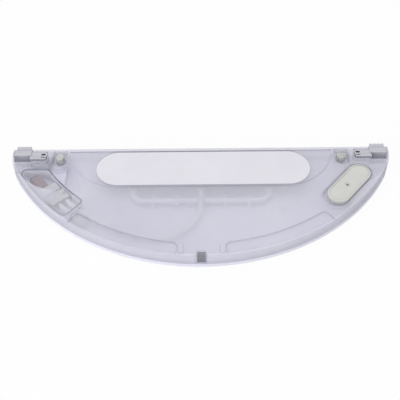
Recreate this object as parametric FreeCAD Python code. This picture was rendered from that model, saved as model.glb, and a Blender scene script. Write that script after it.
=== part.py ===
import FreeCAD, Part
import math
import os

V = FreeCAD.Vector
Z_AXIS = V(0, 0, 1)

# Half-moon water tank of a robot vacuum, label side up, in millimetres.
# +X runs along the straight rear edge, +Y from the curved rim to that edge.

# Outline
rim_radius = 172.0          # arc of the curved front rim
tank_depth = 114.0          # from the rim's apex to the straight rear face
end_radius = 46.0           # arc that turns the rim into each end
end_centre_inset = 3.0      # from the rear face to the centre of the end arcs
latch_reach = 3.0           # how far the latch grips stand out of the rear face

# Heights and walls
floor_thickness = 2.4
seam_height = 3.6           # where the cover's wall stands on the base
top_height = 14.0           # face of the cover's plate
plate_thickness = 1.8
wall_thickness = 2.0
edge_round = 1.2            # fillet round the cover's top edge
rear_wall = 2.6             # behind the channels and the latch pockets
rear_band = 3.6             # flat band along the rear edge, behind the platform
groove_width = 1.0          # groove between that band and the platform
groove_depth = 0.8
weld_gap = 0.15             # between the base's tongue and the cover's wall
tongue_width = 1.2
tongue_height = 2.0
floor_chamfer = 0.5         # round the underside
soft_edge = 0.8             # fillet on the small mouldings
small_chamfer = 0.4

# Raised platform and its label
platform_end = 47.7497      # from the tank's end to the platform's end
platform_depth = 44.2       # from the rear face to the platform's front edge
platform_corner = 42.1
platform_rise = 0.6
platform_bevel = 0.5
label_length = 173.6
label_width = 37.0
label_inset = 24.1          # from the rear face to the label's middle
label_offset = 2.0          # the label sits a little to the right
label_thickness = 0.3
label_sink = 0.35
label_clearance = 0.35

# Lowered bands of the cover along the rim
band_width = 12.0
band_drop = 0.8
band_start = 17.7           # half width of the plain part at the apex
band_end_angle = 36.6       # measured from the apex at the rim's centre
band_corner = 4.5
guide_length = 9.4          # raised guide bars beside the plain part
guide_width = 3.6
guide_rise = 0.6
guide_gap = 0.4             # from a bar to the lowered band's start

# Filler plug
plug_run = 41.9813          # from the rear face to the plug's middle
plug_inset = 17.1           # from the rim's arc to the plug's middle
plug_length = 48.0
plug_width = 18.5
plug_proud = 0.6            # above the cover's plate
recess_depth = 2.6
recess_margin = 0.7         # round the plug at the recess's floor
recess_flare = 0.6          # how much wider the recess is at the top
finger_gap = 4.5            # extra length of the recess at its front end
filler_length = 32.0
filler_width = 11.0
skirt_clearance = 0.2
skirt_wall = 1.5
skirt_depth = 4.4
skirt_hollow = 0.8          # how far the skirt's hollow runs up into the pad
bead_low = 1.3              # bead round the skirt, above its lower edge
bead_high = 2.0
vent_radius = 1.1
vent_shift = 2.6
border_width = 1.4          # raised border of the plug's top
border_rise = 0.4
vent_dish = 0.3             # sunk ring round the vent

# Wells behind the platform's ends, with their bumpers
channel_inset = 40.0497     # from the tank's end to the well's middle
channel_width = 12.0
channel_length = 21.0       # from the rear face to the well's front end
channel_floor = 9.2
tub_wall = 1.6
bumper_inset = 9.4          # from the rear face to the bumper's middle
bumper_radius = 3.4
bumper_height = 5.0
crown_round = 1.1
foot_height = 0.9
dimple_radius = 4.4
dimple_depth = 0.6

# Latch pockets
pocket_length = 29.3497     # from the tank's end to the pocket's inner wall
pad_opening = 16.4497       # from the tank's end to where the pad's opening starts
pad_pocket_depth = 14.9     # from the rear face
arm_pocket_depth = 14.1
ledge_width = 4.0           # thick wall in front of the pad
pivot_inset = 5.9
pivot_gap = 3.5             # from the pocket's inner wall to the pin's centre
barrel_radius = 3.0
pin_radius = 1.0
pin_clearance = 0.05
latch_gap = 0.4             # running clearance round the lever
latch_bottom = 4.4
boss_gap = 0.2              # from the pivot's boss to the lever
latch_top = 14.0
pad_depth = 7.2
arm_front = 11.6            # from the rear face to the front of the arm's rail
rail_width = 2.4
pad_reach = 24.3            # from the pin's centre to the pad's outer end
thin_wall = 1.2             # cover's wall beside the pad's end
arm_drop = 0.6              # the arm's top lies below the pad's
grip_width = 11.8
grip_outer_gap = 1.0        # from the grip to the pad's outer end
grip_rise = 0.2             # the grip's top above the pad's
grip_rib = 0.9              # radius of the grip's four ribs
rib_proud = 0.4
slot_length = 3.8           # two slots in the top of the lever's pivot end
pin_slot_width = 2.0
pin_slot_depth = 3.0
front_slot_width = 1.5
front_slot_inset = 9.3      # from the rear face to the slot's middle
front_slot_depth = 2.4
rail_overhang = 2.4         # of the rail past the pin's centre
rail_corner = 1.2
pocket_corner = 2.5
opening_sill = 3.9          # the cover's pad opening starts above the base's edge
spring_strip = 0.3
spring_height = 5.0

# Pump bay, in the left end
bay_width = 23.35            # across the bay, from the inner face of the rim's wall
bay_front_turn = 11.5       # from the pump's middle to the bay's front end
bay_rear_inset = 21.0       # from the rear face to the bay's rear wall
bay_corner = 5.0
bulkhead_thickness = 2.2
seal_height = 0.8
seal_width = 1.0
rim_clearance = 0.3         # between the bay's wall and the cover's wall

# Pump, along a tangent of the rim at this angle
pump_run = 44.4603          # from the rear face to the pump's middle
pump_inset = 12.6
pump_height = 7.0           # its axis above the underside
motor_length = 15.4
motor_radius = 4.9
motor_flat = 3.9
motor_cap_length = 1.4
cap_step = 0.3              # how far the cap lies inside the motor's outline
terminal_length = 1.2
terminal_width = 1.2
terminal_thickness = 0.4
terminal_spread = 2.6
terminal_rise = 2.0         # above the motor's axis
rest_width = 1.5
rest_shares = (0.2, 0.8)    # places of the motor's rests along it
bracket_length = 8.7
bracket_left = 5.0          # outboard of the axis
bracket_right = 9.5         # inboard of the axis
block_top = 11.4
split_gap = 1.0
head_length = 8.3
head_left = 6.0
head_right = 10.0
lid_thickness = 2.5
chamber_radius = 4.0
chamber_depth = 4.5
impeller_clearance = 0.4
shaft_radius = 0.5
shaft_clearance = 0.3
hub_radius = 1.4
disc_thickness = 0.8
vane_thickness = 0.7
vane_count = 5
key_left = 1.1              # key that joins the head to the bracket
key_right = 4.4
key_drop = 0.8
screw_radius = 0.9
screw_tip = 1.4             # height of the pump screws' tips
slot_thickness = 0.4
slot_sink = 0.4
screw_head_radius = 1.6
screw_head_height = 0.9
head_screw_reach = 5.5      # from the head's start to its screw
head_screw_margin = 1.9
ear_reach = 1.1             # from the bracket's side to its ear's screw
ear_radius = 1.8
ear_height = 1.6
head_sink = 0.8             # of the rear pump screw's head
lid_screw_radius = 0.6
lid_screw_depth = 1.4       # in the head
lid_screw_head_radius = 1.0
lid_screw_head_height = 0.5
lid_screw_side = 1.2        # from the lid's sides
lid_screw_end = 1.4         # from its top and bottom
barb_length = 3.0
barb_radius = 1.1
barb_bore = 0.6

# Hoses and fittings
hose_radius = 2.0
hose_bore = 1.2
hose_inset = 18.0           # of the main hose's run from the rim's arc
suction_inset = 11.0
hose_turn_angle = 17.0      # where the main hose leaves the rim
fitting_radius = 3.0
fitting_height = 5.6
branch_reach = 54.5
branch_bend = 9.0
outlet_run = 12.5           # from the branch line to the outlets
elbow_radius = 3.2
spigot_radius = 1.9
spigot_clearance = 0.1
drip_radius = 0.7
spigot_sink = 0.4           # of the spigot's end in the underside
collar_height = 1.0
collar_wall = 2.0
grommet_radius = 2.9
grommet_flange = 0.6
grommet_lip = 0.5
grommet_slack = 0.2         # between a grommet's flanges and the bay's wall
clip_radius = 1.1
clip_clearance = 0.1
clip_angles = (32.0, 26.0, 20.0)
clip_shares = (0.35, 0.7)   # places of the clips along a branch
suction_stub = 4.7           # of the suction hose past the bay's front plane
filter_radius = 3.6
filter_length = 9.0
filter_slots = 4
filter_slot_start = 1.6
filter_slot_pitch = 1.9
filter_slot_width = 0.8
filter_slot_depth = 0.5
filter_foot_inset = 1.0

# Bosses, magnet, contacts and the underside
boss_x = 65.5
boss_inset = 60.5           # from the rear face
boss_radius = 2.5
boss_bore = 1.2
boss_height = 2.0
magnet_width = 6.7
magnet_depth = 4.6
magnet_height = 7.4
magnet_rib = 1.4
magnet_rib_share = 0.7      # of the magnet's height
magnet_clearance = 0.1
contact_width = 9.0
contact_clearance = 0.1
duct_wall = 1.2
pad_width = 2.8
pad_thickness = 0.5
pad_margin = 0.5
block_depth = 6.0
block_sink = 0.6            # the insert's face lies inside the rear face
underside_border = 5.0
underside_recess = 0.5
strip_outer_inset = 8.0
strip_width = 15.0
strip_start_angle = 7.0
strip_end_angle = 36.0
strip_corner = 5.0
strip_thickness = 0.8
strip_recess = 0.9
strip_clearance = 0.2

# Worked out from the sizes above
front_y = -(tank_depth + latch_reach) / 2
rear_y = front_y + tank_depth
arc_y = front_y + rim_radius
end_y = rear_y - end_centre_inset
end_x = math.sqrt((rim_radius - end_radius) ** 2 - (arc_y - end_y) ** 2)
half_length = end_x + end_radius
platform_half = half_length - platform_end
channel_x = half_length - channel_inset
pocket_inner_x = half_length - pocket_length
pad_split_x = half_length - pad_opening
pump_angle = math.degrees(math.acos((arc_y - rear_y + pump_run) / (rim_radius - pump_inset)))
plug_angle = math.degrees(math.acos((arc_y - rear_y + plug_run) / (rim_radius - plug_inset)))
bay_front_angle = pump_angle - bay_front_turn
plate_under = top_height - plate_thickness
platform_top = top_height + platform_rise
recess_floor = top_height - recess_depth
bulkhead_top = plate_under - seal_height
pivot_x = pocket_inner_x + pivot_gap
pivot_y = rear_y - pivot_inset
duct_top = channel_floor - tub_wall - weld_gap
groove_back = rear_y - rear_band
past = 1.0                  # how far a cutting shape runs past what it cuts


def rim_point(radius, angle, side=1):
    """Point at an angle from the rim's apex, seen from the rim's centre."""
    turn = math.radians(angle)
    return V(side * radius * math.sin(turn), arc_y - radius * math.cos(turn), 0)


def rim_placement(inset, angle, side):
    """Local frame on the rim: x along its tangent, y towards its centre."""
    turn = angle if side > 0 else -angle
    return FreeCAD.Placement(rim_point(rim_radius - inset, angle, side),
                             FreeCAD.Rotation(Z_AXIS, turn))


def placed(shape, placement):
    moved = shape.copy()
    moved.Placement = placement.multiply(moved.Placement)
    return moved


def mirrored(shape):
    return shape.mirror(V(0, 0, 0), V(1, 0, 0))


def arc(start, middle, end):
    return Part.Arc(start, middle, end).toShape()


def line(start, end):
    return Part.LineSegment(start, end).toShape()


def face_of(edges):
    return Part.Face(Part.Wire(edges))


def prism(face, low, high):
    base = face.copy()
    base.translate(V(0, 0, low))
    return base.extrude(V(0, 0, high - low))


def block(low, high):
    size = high - low
    return Part.makeBox(size.x, size.y, size.z, low)


def post(x, y, low, high, radius):
    return Part.makeCylinder(radius, high - low, V(x, y, low))


def rod(start, direction, length, radius):
    return Part.makeCylinder(radius, length, start, direction)


def joined(first, others):
    return first.fuse(others).removeSplitter() if others else first


def edges_at(shape, height):
    """Edges that lie flat at one height."""
    flat = []
    for edge in shape.Edges:
        box = edge.BoundBox
        if abs(box.ZMin - height) < 1e-4 and abs(box.ZMax - height) < 1e-4:
            flat.append(edge)
    return flat


def upright_edges(shape):
    """Straight edges that run along Z."""
    upright = []
    for edge in shape.Edges:
        box = edge.BoundBox
        if box.XLength < 1e-4 and box.YLength < 1e-4 and box.ZLength > 0.5:
            upright.append(edge)
    return upright


def half_moon(inset):
    """Plan of the tank, drawn in evenly from its outer edge."""
    big = rim_radius - inset
    small = end_radius - inset
    back = rear_y - inset
    reach = math.sqrt(small ** 2 - (back - end_y) ** 2)
    low_turn = math.atan2(end_y - arc_y, end_x)
    high_turn = math.atan2(back - end_y, reach)
    middle_turn = (low_turn + high_turn) / 2
    join_angle = 90 + math.degrees(low_turn)
    right_corner = V(end_x + reach, back, 0)
    left_corner = V(-end_x - reach, back, 0)
    right_join = rim_point(big, join_angle, 1)
    left_join = rim_point(big, join_angle, -1)
    mid_x = end_x + small * math.cos(middle_turn)
    mid_y = end_y + small * math.sin(middle_turn)
    return face_of([
        line(left_corner, right_corner),
        arc(right_corner, V(mid_x, mid_y, 0), right_join),
        arc(right_join, rim_point(big, 0), left_join),
        arc(left_join, V(-mid_x, mid_y, 0), left_corner),
    ])


def rim_band(inner, outer, start, end, side, corner):
    """Piece of a ring round the rim's centre, with its corners rounded."""
    small, large = inner + corner, outer - corner
    trim = math.degrees(corner / ((inner + outer) / 2))
    first, last = start + trim, end - trim
    middle = (first + last) / 2
    outside = [rim_point(large, angle, side) for angle in (first, middle, last)]
    inside = [rim_point(small, angle, side) for angle in (last, middle, first)]
    core = face_of([
        arc(*outside),
        line(outside[-1], inside[0]),
        arc(*inside),
        line(inside[-1], outside[0]),
    ])
    return core.makeOffset2D(corner)


def obround(length, width, shift=0.0):
    """Slot outline along X, round at both ends."""
    radius = width / 2
    half = length / 2 - radius
    left, right = shift - half, shift + half
    return face_of([
        line(V(left, -radius, 0), V(right, -radius, 0)),
        arc(V(right, -radius, 0), V(right + radius, 0, 0), V(right, radius, 0)),
        line(V(right, radius, 0), V(left, radius, 0)),
        arc(V(left, radius, 0), V(left - radius, 0, 0), V(left, -radius, 0)),
    ])


def platform_plan(inset):
    """Plan of the raised platform: straight front, quarter-round ends."""
    half = platform_half - inset
    corner = platform_corner - inset
    front = rear_y - platform_depth + inset
    far = rear_y + past
    diagonal = corner * math.sqrt(0.5)
    cx, cy = half - corner, front + corner
    rounded = face_of([
        line(V(-cx, front, 0), V(cx, front, 0)),
        arc(V(cx, front, 0), V(cx + diagonal, cy - diagonal, 0), V(half, cy, 0)),
        line(V(half, cy, 0), V(half, far, 0)),
        line(V(half, far, 0), V(-half, far, 0)),
        line(V(-half, far, 0), V(-half, cy, 0)),
        arc(V(-half, cy, 0), V(-cx - diagonal, cy - diagonal, 0), V(-cx, front, 0)),
    ])
    back = groove_back - groove_width - inset
    limit = Part.makePlane(2 * half, back - front, V(-half, front, 0))
    return rounded.common(limit).Faces[0]


def channel_plan(grow):
    """Plan of the right well: round at the front, straight at the rear wall."""
    back = rear_y - rear_wall + grow
    radius = channel_width / 2 + grow
    cy = rear_y - channel_length + channel_width / 2
    left, right = channel_x - radius, channel_x + radius
    return face_of([
        line(V(left, back, 0), V(left, cy, 0)),
        arc(V(left, cy, 0), V(channel_x, cy - radius, 0), V(right, cy, 0)),
        line(V(right, cy, 0), V(right, back, 0)),
        line(V(right, back, 0), V(left, back, 0)),
    ])


def pocket_plan(grow):
    """Plan of the right latch pocket: deep under the pad, shallower at the arm."""
    back = rear_y - rear_wall + grow
    pad_front = rear_y - pad_pocket_depth - grow
    arm_front_y = rear_y - arm_pocket_depth - grow
    inner = pocket_inner_x - grow
    split = pad_split_x - grow
    outer = half_length + past
    turn = V(inner + pocket_corner, arm_front_y + pocket_corner, 0)
    diagonal = pocket_corner * math.sqrt(0.5)
    corners = [V(inner, turn.y, 0), V(inner, back, 0), V(outer, back, 0), V(outer, pad_front, 0),
               V(split, pad_front, 0), V(split, arm_front_y, 0), V(turn.x, arm_front_y, 0)]
    sides = [line(a, b) for a, b in zip(corners, corners[1:])]
    sides.append(arc(corners[-1], turn - V(diagonal, diagonal, 0), corners[0]))
    limits = half_moon(max(thin_wall - grow, 0)).common(pad_sweep(latch_gap * 0.75 + grow))
    return face_of(sides).common(limits).Faces[0]


def pad_sweep(gap):
    """Disc that the pad's outer end keeps inside of as the lever turns."""
    circle = Part.makeCircle(pad_reach + gap, V(pivot_x, pivot_y, 0))
    return Part.Face(Part.Wire(circle))


def cover_additions():
    """Right-hand thickenings under the cover: well tub and pocket walls."""
    tub = prism(channel_plan(tub_wall), channel_floor - tub_wall, plate_under + past / 2)
    walls = prism(pocket_plan(tub_wall), floor_thickness, plate_under + past / 2)
    ledge_front = rear_y - pad_pocket_depth - ledge_width
    ledge = block(V(pad_split_x - tub_wall, ledge_front, floor_thickness),
                  V(half_length, rear_y - pad_pocket_depth, plate_under + past / 2))
    inside_base = prism(half_moon(wall_thickness + weld_gap), 0, seam_height + past / 2)
    inside_wall = prism(half_moon(wall_thickness / 2), seam_height, top_height)
    return [piece.common(inside_base.fuse(inside_wall)) for piece in (tub, walls, ledge)]


def cover_openings():
    """Right-hand openings through the cover: well, pocket and pad opening."""
    above = top_height + past
    channel = prism(channel_plan(0), channel_floor, above)
    pocket = prism(pocket_plan(0), floor_thickness - past, above)
    opening = block(V(pad_split_x, rear_y - rear_wall - past, opening_sill),
                    V(half_length, rear_y + past, above))
    sweep = prism(pad_sweep(latch_gap * 0.75), opening_sill, above)
    return [channel, pocket, opening.common(sweep)]


def recess_plan(grow):
    """Plan of the plug's recess, longer at its front end for a fingertip."""
    length = plug_length + finger_gap + 2 * grow
    return obround(length, plug_width + 2 * grow, -finger_gap / 2)


def filler_bowl():
    """Thick bowl under the cover that holds the plug's recess."""
    spot = rim_placement(plug_inset, plug_angle, 1)
    plan = recess_plan(recess_margin + recess_flare + plate_thickness)
    return placed(prism(plan, recess_floor - plate_thickness, plate_under + past / 2), spot)


def filler_cuts():
    """Flared recess and the filler opening in its floor."""
    spot = rim_placement(plug_inset, plug_angle, 1)
    low = recess_plan(recess_margin).OuterWire
    high = recess_plan(recess_margin + recess_flare).OuterWire
    low.translate(V(0, 0, recess_floor))
    high.translate(V(0, 0, top_height))
    flare = Part.makeLoft([low, high], True)
    mouth = prism(recess_plan(recess_margin + recess_flare), top_height, top_height + past)
    hole = prism(obround(filler_length, filler_width), recess_floor - plate_thickness - past, top_height)
    return [placed(cut, spot) for cut in (flare, mouth, hole)]


def rim_bands(side):
    """Lowered band of the cover's plate and the plate's own drop below it."""
    start = math.degrees(math.asin(band_start / (rim_radius - band_width)))
    inner = rim_radius - band_width
    lowered = rim_band(inner, rim_radius + band_width, start, band_end_angle, side, band_corner)
    under = lowered.common(half_moon(wall_thickness / 2))
    backing = prism(under.Faces[0], plate_under - band_drop, plate_under + past / 2)
    return backing, prism(lowered, top_height - band_drop, top_height + past)


def guide_bars():
    """Pair of low bars on the plain part of the cover beside the apex."""
    x = band_start - guide_width / 2 - guide_gap
    front = front_y + wall_thickness
    bars = []
    for side in (-1, 1):
        plan = obround(guide_length, guide_width)
        spot = FreeCAD.Placement(V(side * x, front + guide_length / 2, 0), FreeCAD.Rotation(Z_AXIS, 90))
        bars.append(placed(prism(plan, top_height - past / 2, top_height + guide_rise), spot))
    return bars


def rear_groove():
    """Groove between the rear band and the platform."""
    return block(V(-platform_half, groove_back - groove_width, top_height - groove_depth),
                 V(platform_half, groove_back, platform_top + past))


def duct_space(grow, front, back):
    """Dry duct on the floor under the left channel, from the bay to the rear."""
    half = contact_width / 2 + grow
    return block(V(-channel_x - half, front, floor_thickness - max(grow, 0)),
                 V(-channel_x + half, back, duct_top - duct_wall + grow))


def tank_cover():
    """Upper shell: plate, side wall, platform, recess, channels and pockets."""
    outer = prism(half_moon(0), seam_height, top_height)
    outer = outer.makeFillet(edge_round, edges_at(outer, top_height))
    inner = prism(half_moon(wall_thickness), seam_height - past, plate_under)
    shell = outer.cut(inner)

    platform = prism(platform_plan(0), top_height - past / 2, platform_top)
    platform = platform.makeChamfer(platform_bevel, edges_at(platform, platform_top))

    additions = [platform, filler_bowl()] + guide_bars()
    cuts = filler_cuts() + [rear_groove()]
    for side in (-1, 1):
        backing, lowered = rim_bands(side)
        additions.append(backing)
        cuts.append(lowered)
    for piece in cover_additions():
        additions += [piece, mirrored(piece)]
    for piece in cover_openings():
        cuts += [piece, mirrored(piece)]

    guard = prism(half_moon(wall_thickness), plate_under - past / 2, platform_top - plate_thickness)
    cuts.append(prism(platform_plan(plate_thickness), plate_under - past / 2,
                      platform_top - plate_thickness).common(guard))
    label_middle = V(label_offset, rear_y - label_inset, 0)
    seat = prism(obround(label_length + 2 * label_clearance, label_width + 2 * label_clearance),
                 platform_top - label_sink, platform_top + past)
    cuts.append(placed(seat, FreeCAD.Placement(label_middle, FreeCAD.Rotation())))
    cuts.append(duct_space(contact_clearance, rear_y - wall_thickness - past, rear_y + past))
    whole = joined(shell, additions)
    return whole.cut(cuts).removeSplitter()


def bay_plan(grow):
    """Plan of the pump bay, grown or shrunk evenly round one core."""
    large = rim_radius - wall_thickness - rim_clearance - bay_corner
    small = rim_radius - wall_thickness - bay_width + bay_corner
    first = bay_front_angle + math.degrees(bay_corner / ((large + small) / 2))
    back = rear_y - bay_rear_inset - bay_corner
    large_last = math.degrees(math.acos((arc_y - back) / large))
    small_last = math.degrees(math.acos((arc_y - back) / small))
    core = face_of([
        arc(*[rim_point(large, angle, -1) for angle in (first, (first + large_last) / 2, large_last)]),
        line(rim_point(large, large_last, -1), rim_point(small, small_last, -1)),
        arc(*[rim_point(small, angle, -1) for angle in (small_last, (first + small_last) / 2, first)]),
        line(rim_point(small, first, -1), rim_point(large, first, -1)),
    ])
    return core.makeOffset2D(bay_corner + grow)


def hose_clip(point, direction):
    """Two posts on the floor that hold a hose between them."""
    across = V(-direction.y, direction.x, 0).normalize()
    gap = hose_radius + clip_radius + clip_clearance
    spots = (point + across * gap, point - across * gap)
    high = pump_height + hose_radius / 2
    return [post(s.x, s.y, floor_thickness - past / 2, high, clip_radius) for s in spots]


def clip_posts():
    """Clips along the main hose's run and its two branches."""
    posts = []
    run = rim_radius - hose_inset
    for angle in clip_angles:
        point = rim_point(run, angle, -1)
        ahead = rim_point(run, angle - 1, -1) - point
        posts += hose_clip(point, ahead)
    for side in (-1, 1):
        for share in clip_shares:
            posts += hose_clip(V(side * branch_reach * share, junction_y, 0), V(1, 0, 0))
    return posts


def grommet_holes(radius):
    """Holes through the bay's front wall for the two hoses."""
    holes = []
    for inset in (hose_inset, suction_inset):
        spot = rim_placement(inset, bay_front_angle, -1)
        start = V(-bulkhead_thickness - past, 0, pump_height)
        holes.append(placed(rod(start, V(1, 0, 0), bulkhead_thickness + 2 * past, radius), spot))
    return holes


def magnet_walls():
    """Rear and side ribs that hold the magnet against the cover's wall."""
    half = magnet_width / 2 + magnet_clearance
    back = front_y + wall_thickness + weld_gap + magnet_depth + magnet_clearance
    front = front_y + wall_thickness + weld_gap + magnet_clearance
    high = floor_thickness + magnet_height * magnet_rib_share
    outer = block(V(-half - magnet_rib, front, floor_thickness - past / 2),
                  V(half + magnet_rib, back + magnet_rib, high))
    inner = block(V(-half, front - past, floor_thickness), V(half, back, high + past))
    return outer.cut(inner)


def pump_supports():
    """Rests under the motor and bosses under the two pump screws."""
    spot = rim_placement(pump_inset, pump_angle, -1)
    motor_end = -bracket_length / 2
    pieces = []
    for share in rest_shares:
        x = motor_end - motor_length * share
        low = V(x - rest_width / 2, -motor_radius, floor_thickness - past / 2)
        pieces.append(block(low, V(x + rest_width / 2, motor_radius, pump_height - motor_flat)))
    return [placed(piece, spot) for piece in pieces]


def latch_boss(side):
    """Boss that carries a latch's pivot pin."""
    return post(side * pivot_x, pivot_y, floor_thickness - past / 2, latch_bottom - boss_gap, barrel_radius)


def screw_spots():
    """Pump screws in the pump's own frame: bracket ear and head corner."""
    head_x = bracket_length / 2 + split_gap + head_screw_reach
    return [V(0, -bracket_left - ear_reach, 0), V(head_x, head_right - head_screw_margin, 0)]


def tank_base():
    """Lower shell: floor, edge, tongue, pump bay wall, posts and outlets."""
    floor = prism(half_moon(0), 0, floor_thickness)
    floor = floor.makeChamfer(floor_chamfer, edges_at(floor, 0))
    edge = prism(half_moon(0), floor_thickness - past / 2, seam_height).cut(
        prism(half_moon(wall_thickness), floor_thickness - past, seam_height + past))
    inset = wall_thickness + weld_gap
    tongue = prism(half_moon(inset), floor_thickness - past / 2, floor_thickness + tongue_height).cut(
        prism(half_moon(inset + tongue_width), floor_thickness - past, top_height))
    keep_out = [prism(pocket_plan(tub_wall + weld_gap), floor_thickness, top_height)]
    ledge_front = rear_y - pad_pocket_depth - ledge_width - weld_gap
    keep_out.append(block(V(pad_split_x - tub_wall - weld_gap, ledge_front, floor_thickness),
                          V(half_length, rear_y - pad_pocket_depth, top_height)))
    keep_out += [mirrored(piece) for piece in keep_out]
    half = magnet_width / 2 + magnet_clearance
    keep_out.append(block(V(-half, front_y, floor_thickness),
                          V(half, front_y + wall_thickness + magnet_depth, top_height)))
    tongue = tongue.cut(keep_out)

    bulkhead = prism(bay_plan(0), floor_thickness - past / 2, bulkhead_top).cut(
        prism(bay_plan(-bulkhead_thickness), floor_thickness - past, top_height))
    duct = duct_space(duct_wall, rear_y - channel_length - past, rear_y - wall_thickness - weld_gap)
    duct = duct.fuse(duct_space(duct_wall, rear_y - 2 * channel_length, rear_y - channel_length))
    bay_core = prism(bay_plan(-bulkhead_thickness), floor_thickness - past, top_height)
    pieces = [edge, tongue, bulkhead, duct.cut(bay_core), magnet_walls(), latch_boss(-1), latch_boss(1)]
    pieces += clip_posts() + pump_supports()
    for side in (-1, 1):
        pieces.append(post(side * boss_x, rear_y - boss_inset, floor_thickness - past / 2,
                           floor_thickness + boss_height, boss_radius))
    for x in (-branch_reach, 0, branch_reach):
        pieces.append(post(x, outlet_y, floor_thickness - past / 2, floor_thickness + collar_height,
                           spigot_radius + collar_wall))

    spot = rim_placement(pump_inset, pump_angle, -1)
    cuts = [prism(half_moon(underside_border), -past, underside_recess)]
    cuts.append(duct_space(0, rear_y - 2 * channel_length, rear_y + past))
    for side in (-1, 1):
        cuts.append(prism(strip_plan(0, side), 0, underside_recess + strip_recess))
        cuts.append(post(side * pivot_x, pivot_y, floor_thickness / 2, top_height, pin_radius))
        cuts.append(post(side * boss_x, rear_y - boss_inset, floor_thickness, top_height, boss_bore))
    for x in (-branch_reach, 0, branch_reach):
        cuts.append(post(x, outlet_y, -past, top_height, spigot_radius + spigot_clearance))
    cuts += grommet_holes(grommet_radius)
    for point in screw_spots():
        hole = post(point.x, point.y, screw_tip, floor_thickness + past, screw_radius)
        cuts.append(placed(hole, spot))
    whole = joined(floor, pieces)
    return whole.cut(cuts).removeSplitter()


def strip_plan(gap, side):
    """Plan of a hook strip's recess, or of the strip itself with a gap."""
    outer = rim_radius - strip_outer_inset - gap
    inner = rim_radius - strip_outer_inset - strip_width + gap
    trim = math.degrees(gap / inner)
    return rim_band(inner, outer, strip_start_angle + trim, strip_end_angle - trim, side, strip_corner - gap)


def hook_strip(side):
    """Hook tape in its recess, just short of the underside's border."""
    roof = underside_recess + strip_recess
    return prism(strip_plan(strip_clearance, side), roof - strip_thickness, roof)


def bay_seal():
    """Rubber cord on top of the bay's wall, pressed by the cover."""
    margin = (bulkhead_thickness - seal_width) / 2
    return prism(bay_plan(-margin), bulkhead_top, plate_under).cut(
        prism(bay_plan(-margin - seal_width), bulkhead_top - past, top_height))


def instruction_label():
    """Stadium-shaped label that lies in the platform's recess."""
    low = platform_top - label_sink
    plate = prism(obround(label_length, label_width), low, low + label_thickness)
    middle = V(label_offset, rear_y - label_inset, 0)
    return placed(plate, FreeCAD.Placement(middle, FreeCAD.Rotation()))


def filler_plug():
    """Soft plug: obround pad with a dished top, a hollow skirt and a vent."""
    high = top_height + plug_proud
    pad = prism(obround(plug_length, plug_width), recess_floor, high)
    pad = pad.makeFillet(soft_edge, edges_at(pad, high))
    dish = prism(obround(plug_length - 2 * border_width, plug_width - 2 * border_width),
                 high - border_rise, high + past)
    outer_gap = 2 * skirt_clearance
    low = recess_floor - skirt_depth
    skirt = prism(obround(filler_length - outer_gap, filler_width - outer_gap), low, recess_floor + past)
    skirt = skirt.makeChamfer(small_chamfer, edges_at(skirt, low))
    bead = prism(obround(filler_length - outer_gap / 3, filler_width - outer_gap / 3),
                 low + bead_low, low + bead_high)
    inner_gap = outer_gap + 2 * skirt_wall
    hollow = prism(obround(filler_length - inner_gap, filler_width - inner_gap),
                   low - past, recess_floor + skirt_hollow)
    vent = post(-vent_shift, 0, low, high + past, vent_radius)
    vent_ring = post(-vent_shift, 0, high - border_rise - vent_dish, high + past, 2 * vent_radius)
    plug = joined(pad, [skirt, bead]).cut([dish, hollow, vent, vent_ring])
    return placed(plug, rim_placement(plug_inset, plug_angle, 1))


def left_bumper():
    """Round cream bumper: a foot, a body with a rounded crown and a dimple."""
    body = post(0, 0, 0, bumper_height, bumper_radius)
    body = body.makeFillet(crown_round, edges_at(body, bumper_height))
    foot = post(0, 0, 0, foot_height, bumper_radius + foot_height / 2)
    foot = foot.makeChamfer(foot_height / 3, edges_at(foot, foot_height))
    dimple = Part.makeSphere(dimple_radius, V(0, 0, bumper_height + dimple_radius - dimple_depth))
    bumper = body.fuse(foot).removeSplitter().cut(dimple)
    bumper.translate(V(-channel_x, rear_y - bumper_inset, channel_floor))
    return bumper


def right_bumper():
    """U-shaped cream bumper with three grooves along its top."""
    r, h = bumper_radius, bumper_height
    back = 2.0
    plan = face_of([
        line(V(-r, back, 0), V(-r, -1, 0)),
        arc(V(-r, -1, 0), V(0, -1 - r, 0), V(r, -1, 0)),
        line(V(r, -1, 0), V(r, back, 0)),
        line(V(r, back, 0), V(-r, back, 0)),
    ])
    body = prism(plan, 0, h)
    body = body.makeFillet(soft_edge, edges_at(body, h))
    grooves = [rod(V(x, -r - 2, h + 0.15), V(0, 1, 0), r + back + 4, 0.6) for x in (-1.8, 0, 1.8)]
    body = body.cut(grooves)
    body.translate(V(channel_x, rear_y - bumper_inset, channel_floor))
    return body


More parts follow.
